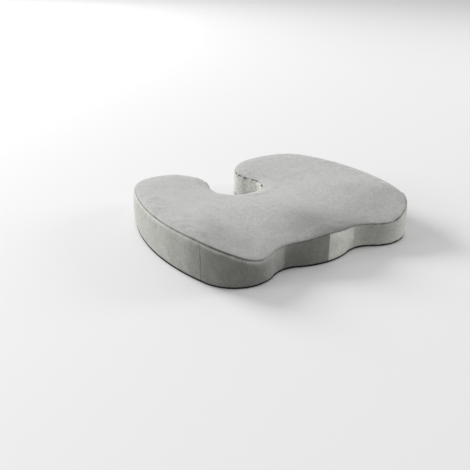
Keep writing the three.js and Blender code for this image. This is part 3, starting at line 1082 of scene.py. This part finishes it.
def new_group(name, inputs, outputs):
    group = bpy.data.node_groups.new(name, "ShaderNodeTree")
    for title, kind, value in inputs:
        socket = group.interface.new_socket(title, in_out="INPUT", socket_type=kind)
        if value is not None:
            socket.default_value = value
    for title, kind in outputs:
        group.interface.new_socket(title, in_out="OUTPUT", socket_type=kind)
    return group, group.nodes.new("NodeGroupInput"), group.nodes.new("NodeGroupOutput")


pile, given, out = new_group(
    "pile",
    [
        ("Vector", "NodeSocketVector", None),
        ("Nap", "NodeSocketFloat", 1.0),
        ("Seam", "NodeSocketFloat", 0.0),
        ("Patch strength", "NodeSocketFloat", 0.3),
        ("Fibre strength", "NodeSocketFloat", 0.3),
    ],
    [("Tone", "NodeSocketFloat"), ("Height", "NodeSocketFloat")],
)
# Per metre: smears as long as a thumb, tufts of pile, and single fibres.
SMEARS, TUFTS, FIBRES = 38.0, 260.0, 760.0
# How much of the base colour the painted seam shade takes away for each unit of its attribute.
SEAM_PAINTED_SHADE = 0.12
smears = noise_node(pile, given.outputs["Vector"], SMEARS, 3, 0.62, 1.2)
tufts = noise_node(pile, given.outputs["Vector"], TUFTS, 3, 0.65, 0.5)
fibres = noise_node(pile, given.outputs["Vector"], FIBRES, 2, 0.6)
smear_part = times(pile, centred(pile, smears), given.outputs["Patch strength"])
fine = plus(pile, centred(pile, fibres), centred(pile, tufts))
fine_part = times(pile, fine, given.outputs["Fibre strength"])
mottle = plus(pile, plus(pile, smear_part, fine_part), 1.0)
# The painted seam shade and the painted nap sheen and shade both scale the plush's tone.
shade = math_node(pile, "SUBTRACT", 1.0, times(pile, given.outputs["Seam"], SEAM_PAINTED_SHADE))
toned = times(pile, times(pile, mottle, given.outputs["Nap"]), shade)
height = plus(pile, times(pile, fibres, 0.5), tufts)
pile.links.new(toned, out.inputs["Tone"])
pile.links.new(height, out.inputs["Height"])
print("pile:", len(pile.nodes), "nodes")

# %% A material for each plush panel
PLUSH_GREY, PLUSH_TOP = (0.42, 0.42, 0.392), (0.455, 0.457, 0.448)


def new_material(name):
    material = bpy.data.materials.new(name)
    material.use_nodes = True
    tree = material.node_tree
    return material, tree, tree.nodes["Principled BSDF"]


def place_group(tree, group, **sockets):
    made = tree.nodes.new("ShaderNodeGroup")
    made.node_tree = group
    return put(tree, made, **sockets)


def object_place(tree):
    return tree.nodes.new("ShaderNodeTexCoord").outputs["Object"]


def attribute(tree, name):
    made = tree.nodes.new("ShaderNodeAttribute")
    made.attribute_name = name
    return made.outputs["Fac"]


def tinted(tree, colour, tone):
    """A colour times a tone that changes over the surface."""
    mix = tree.nodes.new("ShaderNodeVectorMath")
    mix.operation = "SCALE"
    put(tree, mix, _0=colour, Scale=tone)
    return mix.outputs[0]


def bump(tree, shader, height, distance, strength=0.6):
    made = tree.nodes.new("ShaderNodeBump")
    put(tree, made, Strength=strength, Distance=distance, Height=height)
    put(tree, shader, Normal=made.outputs[0])


def plush(name, colour, patch_strength, fibre_strength):
    material, tree, shader = new_material(name)
    group = place_group(
        tree, pile, Vector=object_place(tree), Nap=attribute(tree, "nap"), Seam=attribute(tree, "seam"),
        Patch_strength=patch_strength, Fibre_strength=fibre_strength,
    )
    put(tree, shader, Base_Color=tinted(tree, colour, group.outputs["Tone"]), Roughness=0.95)
    bump(tree, shader, group.outputs["Height"], 0.8 * MM)
    put(tree, shader, Specular_IOR_Level=0.08, Sheen_Weight=0.35, Sheen_Roughness=0.35)
    shader.inputs["Sheen Tint"].default_value = (0.93, 0.94, 0.9, 1)
    return material


def dress(material, *objects):
    for obj in objects:
        obj.data.materials.clear()
        obj.data.materials.append(material)


for number, piece in enumerate(plush_pieces):
    colour, patches = (PLUSH_GREY, 0.42) if number else (PLUSH_TOP, 0.3)
    dress(plush(piece.name, colour, patches, 0.6), piece)

# %% [markdown]
# ## Woven and knitted cloth
# Tape, label, anti-slip base and jersey differ in thread size and colour, but each is threads that
# cross over and under. One group draws that as the product of a sine along each thread direction,
# with a little fuzz. It reads metres, so a thread has the same size on every piece.
# %% A node group for woven cloth
weave, given, out = new_group(
    "weave",
    [
        ("Vector", "NodeSocketVector", None),
        ("Thread", "NodeSocketFloat", 0.0006),
        ("Slant", "NodeSocketFloat", 0.0),
        ("Contrast", "NodeSocketFloat", 0.3),
    ],
    [("Tone", "NodeSocketFloat"), ("Height", "NodeSocketFloat")],
)
split = weave.nodes.new("ShaderNodeSeparateXYZ")
weave.links.new(given.outputs["Vector"], split.inputs[0])
x, y, z = split.outputs
turns = math_node(weave, "DIVIDE", 2 * math.pi, given.outputs["Thread"])
slanted = plus(weave, x, times(weave, y, given.outputs["Slant"]))
warp = math_node(weave, "SINE", times(weave, slanted, turns), 0.0)
weft = math_node(weave, "SINE", times(weave, plus(weave, y, z), turns), 0.0)
fuzz = noise_node(weave, given.outputs["Vector"], 900.0, 2, 0.6)
threads = plus(weave, times(weave, warp, weft), centred(weave, fuzz))
tone = plus(weave, times(weave, threads, given.outputs["Contrast"]), 1.0)
weave.links.new(tone, out.inputs["Tone"])
weave.links.new(threads, out.inputs["Height"])
print("weave:", len(weave.nodes), "nodes")


def lay_uv(obj, place):
    """A UV map in metres: place(point) gives the two distances measured over the surface."""
    layer = obj.data.uv_layers.new(name="cloth")
    mesh = obj.data
    spots = [place(v.co) for v in mesh.vertices]
    layer.data.foreach_set("uv", [c for loop in mesh.loops for c in spots[loop.vertex_index]])


def round_uv(centre, radius):
    return lambda point: (bearing(centre, point) * radius, point.z)


def wall_uv(point):
    return stations[nearest_column(point.x, point.y)], point.z


for cloth in (*tapes, thread):
    lay_uv(cloth, round_uv(side, SIDE_R))
lay_uv(label, round_uv(left_rear, REAR_R))
lay_uv(sock, wall_uv)


def woven(name, colour, thread, slant=0.0, contrast=0.3, height=0.15 * MM, on_uv=True, sheen=0.0, rough=0.9):
    material, tree, shader = new_material(name)
    place = tree.nodes.new("ShaderNodeTexCoord").outputs["UV" if on_uv else "Object"]
    group = place_group(tree, weave, Vector=place, Thread=thread, Slant=slant, Contrast=contrast)
    put(tree, shader, Base_Color=tinted(tree, colour, group.outputs["Tone"]), Roughness=rough)
    bump(tree, shader, group.outputs["Height"], height)
    put(tree, shader, Specular_IOR_Level=0.3, Sheen_Weight=sheen)
    return material


dress(woven("zip_tape", (0.030, 0.030, 0.032), 0.9 * MM, slant=0.5, contrast=0.5), *tapes)
dress(woven("grip_cloth", (0.018, 0.018, 0.019), 1.1 * MM, contrast=0.5, height=0.2 * MM, on_uv=False), base)
JERSEY = ((0.84, 0.83, 0.78), 1.2 * MM, 1.0, 0.12)
dress(woven("jersey", *JERSEY, sheen=0.1), sock)
dress(woven("jersey_sole", *JERSEY, on_uv=False, sheen=0.1), sole)
dress(woven("satin", (0.62, 0.62, 0.6), 0.5 * MM, 0.3, 0.08, height=0.05 * MM, rough=0.38), label)
dress(woven("topstitch", (0.23, 0.23, 0.22), 0.7 * MM, slant=1.4, contrast=0.4), thread)

# %% [markdown]
# ## Foam, rubber, nylon and nickel
# Foam shows its open cells, so its height comes from a cell pattern. Rubber dots are printed and a
# little uneven. Nylon is smooth with a soft gloss. Nickel plate is bright where fingers rub it and
# duller, with fine scratches, where they do not.
# %% Solid finishes
def grained(name, colour, scale, low, high, roughness, metallic=0.0, cells=False, height=0.0):
    """A finish whose tone and roughness vary with noise or with a cell pattern."""
    material, tree, shader = new_material(name)
    vector = object_place(tree)
    if cells:
        made = tree.nodes.new("ShaderNodeTexVoronoi")
        put(tree, made, Vector=vector, Scale=scale)
        grain = math_node(tree, "MULTIPLY", made.outputs["Distance"], 1.4, clamp=True)
    else:
        grain = noise_node(tree, vector, scale, 4, 0.6, 0.3)
    spread = tree.nodes.new("ShaderNodeMapRange")
    put(tree, spread, _0=grain, _1=0.3, _2=0.7, _3=low, _4=high)
    put(tree, shader, Base_Color=tinted(tree, colour, spread.outputs[0]), Metallic=metallic)
    dull = math_node(tree, "ADD", times(tree, grain, 0.25), roughness - 0.12, clamp=True)
    put(tree, shader, Roughness=dull)
    if height:
        bump(tree, shader, grain, height)
    return material


dress(grained("foam_cells", (0.93, 0.88, 0.74), 1100.0, 0.82, 1.05, 0.9, cells=True, height=0.3 * MM), foam)
dress(grained("dot_rubber", (0.022, 0.022, 0.023), 700.0, 0.7, 1.3, 0.55, height=0.05 * MM), dots)
dress(grained("nylon", (0.035, 0.035, 0.037), 900.0, 0.7, 1.3, 0.35), *coils)
nickel = grained("nickel", (0.62, 0.62, 0.63), 420.0, 0.86, 1.08, 0.3, metallic=1.0, height=0.02 * MM)
dress(nickel, slider, pull, *stops)
print("materials:", len(bpy.data.materials))

# %% [markdown]
# ## The studio
# A plain pale floor and three soft lights.
# %% Floor and light
def soft_light(name, place, aim, size, power):
    lamp = bpy.data.lights.new(name, "AREA")
    lamp.shape, lamp.size, lamp.energy = "DISK", size, power
    obj = bpy.data.objects.new(name, lamp)
    place, aim = Vector(place), Vector(aim)
    obj.matrix_world = Matrix.Translation(place) @ (place - aim).to_track_quat("Z", "Y").to_matrix().to_4x4()
    bpy.context.scene.collection.objects.link(obj)


soft_light("rear", (-2.1, 6.07, 2.92), (0, 0, 0), 3.3, 440)
soft_light("left", (-4.8, 1.6, 1.8), (0, 0, 0.03), 2.4, 64)
soft_light("right", (4.4, -1.2, 1.6), (0, 0, 0.03), 2.0, 56)
world = bpy.data.worlds.new("studio")
world.use_nodes = True
sky = world.node_tree
# The backdrop looks nearly white, but lights the cushion less than it shows.
seen = times(sky, sky.nodes.new("ShaderNodeLightPath").outputs["Is Camera Ray"], 0.35)
put(sky, sky.nodes["Background"], Color=(0.97, 0.97, 0.96, 1), Strength=plus(sky, seen, 0.55))
bpy.context.scene.world = world
bpy.context.scene.view_settings.view_transform = "Standard"

# %% Floor
bm_floor = bmesh.new()
bmesh.ops.create_grid(bm_floor, x_segments=1, y_segments=1, size=30)
floor = mesh_object("floor", bm_floor)
bm_floor.free()
floor_material, tree, shader = new_material("floor")
put(tree, shader, Base_Color=(0.82, 0.82, 0.83, 1), Roughness=0.8)
floor.data.materials.append(floor_material)
floor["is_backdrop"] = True

# %% Measures and finish
low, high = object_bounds()
print("visual:", [round((b - a) / MM, 1) for a, b in zip(low, high)], "mm")
